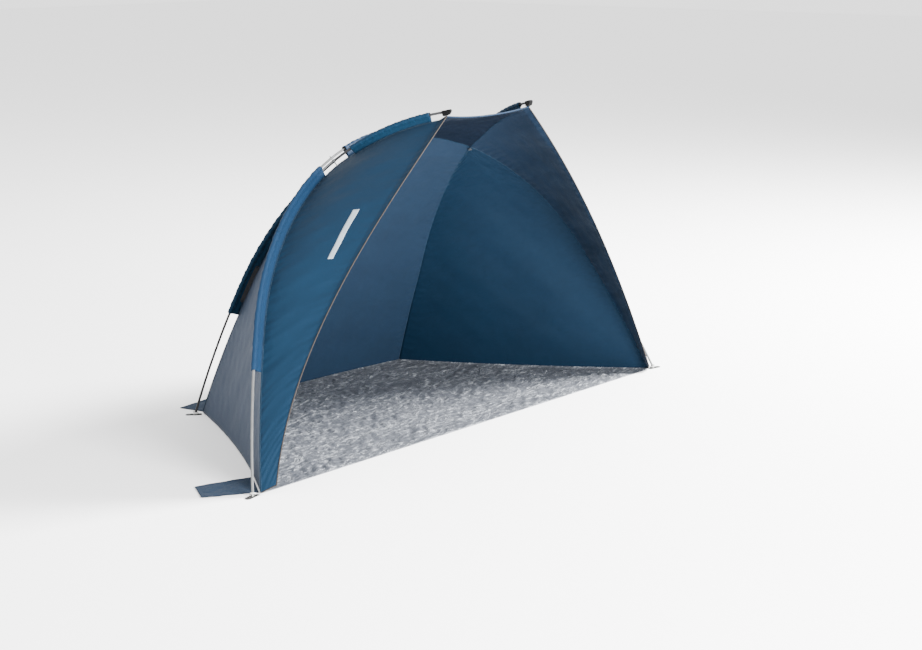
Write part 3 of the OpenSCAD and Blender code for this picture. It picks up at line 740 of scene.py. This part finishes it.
def sleeves():
    for side, mirrored in (("left", False), ("right", True)):
        sleeve(f"leg_sleeve_{side}", f"arch_sleeve_{side}", LEG_SLEEVE, "arch", lit_sleeve_cloth, 51,
               mirrored)
        sleeve_joint(side, mirrored)
        sleeve(f"back_sleeve_{side}", f"rear_sleeve_{side}", REAR_SLEEVE, "side", navy_cloth, 53,
               mirrored)
        sleeve(f"peak_sleeve_{side}", f"front_sleeve_{side}", FRONT_SLEEVE, "side", peak_sleeve_cloth, 55,
               mirrored, 80)
    roof_range = (ROOF_SLEEVE_FROM, ARCH.length - ROOF_SLEEVE_FROM)
    sleeve("roof_sleeve", "arch_sleeve_roof", roof_range, "arch", lit_sleeve_cloth, 57)


# ---- seams, stitching and edge bindings ----
def seam_rows(path, apart):
    """Two rows of stitches beside a seam, on the outside of the canopy."""
    out = unit(path[len(path) // 2] - INSIDE)
    normal = np.repeat(out[None], len(path), axis=0)
    way = tangents(path)
    normal = normal - way * (normal * way).sum(1, keepdims=True)
    normal /= np.linalg.norm(normal, axis=1, keepdims=True)
    across = np.cross(way, normal)
    return [(path + across * apart * k + normal * 0.0014, normal) for k in (-1, 1)]


def seams():
    paths = [LEG_SEAM, flip(LEG_SEAM), REAR_SEAM, flip(REAR_SEAM), FRONT_SEAM, flip(FRONT_SEAM), ROOF_SEAM]
    rows = []
    for number, path in enumerate(paths):
        felled = tube(f"seam_{number}", path, SEAM_R, seam_tape, flatten=0.9, up=(0.0, 1.0, 0.3))
        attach(felled, "shelter")
        rows += seam_rows(path, SEAM_ROW_APART)
    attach(stitches("seam_stitches", rows, thread), "shelter")


def bindings():
    for side, mirrored in (("left", False), ("right", True)):
        edge = flip(WING_EDGE) if mirrored else WING_EDGE
        lower = straight(FRONT_CORNER, WING_CORNER, n=30)
        lower = flip(lower) if mirrored else lower
        piping = tube(f"wing_piping_{side}", edge, WING_PIPING_R, tan_tape, sides=10)
        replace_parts(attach(piping, "shelter"), f"front_binding_{side}")
        hem = tube(f"wing_hem_{side}", lower, WING_HEM_R, tan_tape, flatten=0.8)
        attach(hem, "shelter")
    roof_hem = tube("roof_hem", HEM_EDGE, ROOF_HEM_R, hem_tape, sides=10, flatten=0.9)
    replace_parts(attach(roof_hem, "shelter"), "roof_binding")


def peak_tab(side, mirrored):
    """Short webbing from the cap down to the canopy's peak, sewn a little way back along the seam."""
    top = side_point(SIDE.length - TAB_FROM_END, TAB_UNDER)
    low = side_seam(PEAK_S - TAB_BACK)
    run = straight(top, low, n=12)
    grid = np.stack([run + SIDE_ACROSS * k for k in np.linspace(-TAB_HALF, TAB_HALF, 7)], axis=1)
    grid = flip(grid) if mirrored else grid
    obj = cloth(f"peak_tab_{side}", grid, webbing, thickness=TAB_WEBBING)
    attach(obj, "shelter")


def vent(side, mirrored):
    """A long stadium of binding round dark mesh, sewn to the outer face of the rear sleeve."""
    s = np.linspace(*VENT, 40)
    base, outs = [], []
    for at in s:
        inward = unit(side_point(at, 0.001) - side_point(at))
        out = math.sin(VENT_TILT) * inward - math.cos(VENT_TILT) * SIDE_ACROSS
        foot = side_point(at, VENT_OUT * math.cos(REAR_TILT), VENT_OUT * math.sin(REAR_TILT))
        base.append(foot + out * VENT_PROUD)
        outs.append(out)
    base, outs = np.array(base), np.array(outs)
    ways = tangents(base)
    ups = np.cross(ways, outs) * VENT_HALF
    turn = np.linspace(-math.pi / 2, math.pi / 2, 9)[1:-1]
    end = [base[-1] + ways[-1] * VENT_HALF * math.cos(a) - ups[-1] * math.sin(a) for a in turn]
    start = [base[0] - ways[0] * VENT_HALF * math.cos(a) + ups[0] * math.sin(a) for a in turn]
    loop = np.array([*(base + ups), *end, *(base - ups)[::-1], *start])
    loop = np.vstack([loop, loop[:1]])
    shares = np.linspace(-VENT_MESH_SHARE, VENT_MESH_SHARE, 5)
    grid = np.stack([base + ups * k for k in shares], axis=1)
    loop, grid = (flip(loop), flip(grid)) if mirrored else (loop, grid)
    trim = tube(f"vent_binding_{side}", loop, VENT_PIPING_R, tan_tape, up=tuple(outs[len(outs) // 2]))
    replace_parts(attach(trim, "shelter"), f"vent_trim_{side}")
    mesh = cloth(f"vent_mesh_{side}", grid, mesh_cloth, thickness=VENT_CLOTH)
    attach(mesh, "shelter")


def printed_bar():
    """Plain pale bar printed on the left wing."""
    wing = facing_out(patch(*WING_EDGES, *WING_CELLS))
    nu, nv = wing.shape[0] - 1, wing.shape[1] - 1
    rows = slice(int(PRINT_U[0] * nu), int(PRINT_U[1] * nu))
    columns = slice(int(PRINT_V[0] * nv), int(PRINT_V[1] * nv) + 1)
    lifted = puckered(wing, WING_SEED, WING_SLACK) + normals(wing) * 0.0009
    bar = cloth("printed_bar", lifted[rows, columns], print_ink, thickness=PRINT_FILM)
    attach(bar, "shelter")


# ---- groundsheet and flaps ----
def groundsheet():
    near = straight(on_ground(FRONT_CORNER), on_ground(flip(FRONT_CORNER)))
    grid = patch(near, BACK_EDGE, SIDE_EDGE, flip(SIDE_EDGE), *FLOOR_CELLS)
    u, v = spans(grid)
    crumple = np.abs(ripples(u, v, 71, 0.16, 0.022, 14)) + 0.5 * np.abs(ripples(u, v, 73, 0.06, 0.016, 10))
    flat = grid.copy()
    across = np.minimum(u, u[-1:] - u)
    to_wall = np.minimum(across, v[:, -1:] - v)
    turned_up = FLOOR_RISE * np.exp(-to_wall / FLOOR_TURN)
    grid[..., 2] = 0.0009 + 0.0026 * crumple * edge_mask(grid.shape, 0.03) + turned_up
    middle = tuple(cells // 2 for cells in FLOOR_CELLS)
    grid = grid if normals(flat)[middle][2] > 0 else grid[::-1]
    obj = cloth("floor", grid, floor_sheet, thickness=FLOOR_CLOTH)
    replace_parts(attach(obj, "shelter"), "groundsheet")


def chord(edge, start):
    """Hinge point, direction along it and direction away from the shelter, on the ground."""
    length = np.linalg.norm(edge[-1] - edge[0])
    a, b = (on_ground(along(edge, np.array(x / length)), 0.0) for x in (start, start + FLAP_W))
    way = unit(b - a)
    out = np.cross([0.0, 0.0, 1.0], way)
    return a + out * HINGE_OUT, way, out


def flap(name, edge, start, outline, seed, mirrored):
    point, way, out = chord(edge, start)
    corners = [point + way * x + out * y for x, y in outline]
    a, b, c, d = corners
    grid = patch(straight(a, d), straight(b, c), straight(a, b), straight(d, c), *FLAP_CELLS)
    grid = flip(grid) if mirrored else grid
    flat = grid.copy()
    u, v = spans(grid)
    reach = np.linspace(0, 1, grid.shape[0])[:, None]
    lift = 0.0006 + 0.0016 * np.abs(ripples(u, v, seed, 0.20, 0.07, 5)) * np.clip(reach * 4, 0, 1)
    grid[..., 2] = lift
    middle = tuple(cells // 2 for cells in FLAP_CELLS)
    if normals(flat)[middle][2] < 0:
        grid, flat = grid[:, ::-1], flat[:, ::-1]
    obj = cloth(name + "_cloth", grid, flap_cloth, thickness=CLOTH)
    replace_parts(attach(obj, name), name)
    edges = np.concatenate([grid[:, 0], grid[-1], grid[::-1, -1]]) + np.array([0, 0, 0.0007])
    hem = tube(name + "_hem", resample(edges, 0.004), FLAP_HEM_R, flap_hem_cloth, sides=6)
    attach(hem, name)


def flaps():
    for side, mirrored in (("left", False), ("right", True)):
        flap(f"front_flap_{side}", SIDE_EDGE, FRONT_FLAP_AT, FRONT_FLAP, 81 + mirrored, mirrored)
        flap(f"rear_flap_{side}", BACK_EDGE, REAR_FLAP_AT, REAR_FLAP, 91 + mirrored, mirrored)


# ---- floor, light and camera ----
def studio():
    mesh = bpy.data.meshes.new("floor_stage")
    corners = [(x * STAGE_HALF, y * STAGE_HALF, 0) for x, y in ((-1, -1), (1, -1), (1, 1), (-1, 1))]
    mesh.from_pydata(corners, [], [(0, 1, 2, 3)])
    ground = bpy.data.objects.new("floor_stage", mesh)
    bpy.context.collection.objects.link(ground)
    pale = Graph("pale floor", 0.9)
    pale.shader.inputs["Base Color"].default_value = (STAGE_PALE, STAGE_PALE, STAGE_PALE, 1.0)
    mesh.materials.append(pale.material)
    world = bpy.data.worlds.new("studio")
    world.use_nodes = True
    background = world.node_tree.nodes["Background"]
    background.inputs["Color"].default_value = (1.0, 1.0, 1.0, 1.0)
    background.inputs["Strength"].default_value = WORLD_STRENGTH
    bpy.context.scene.world = world
    for name, settings in LAMPS.items():
        add_light(name, *settings)


def add_light(name, place, target, size, power):
    data = bpy.data.lights.new(name, "AREA")
    data.size = size
    data.energy = power
    obj = bpy.data.objects.new(name, data)
    bpy.context.collection.objects.link(obj)
    obj.location = place
    way = np.array(target) - np.array(place)
    flat = math.hypot(way[0], way[1])
    obj.rotation_euler = (math.atan2(flat, -way[2]), 0.0, math.atan2(way[1], way[0]) - math.pi / 2)


def camera():
    data = bpy.data.cameras.new("camera")
    data.lens = LENS_MM
    data.sensor_width = SENSOR_MM
    obj = bpy.data.objects.new("camera", data)
    bpy.context.collection.objects.link(obj)
    obj.location = CAMERA_PLACE
    obj.rotation_euler = (math.pi / 2 - CAMERA_BELOW_LEVEL, 0.0, CAMERA_HEADING)
    bpy.context.scene.camera = obj


studio()
camera()
dress_cad_nodes()
canopy()
sleeves()
seams()
bindings()
vent("left", False)
vent("right", True)
peak_tab("left", False)
peak_tab("right", True)
printed_bar()
groundsheet()
flaps()
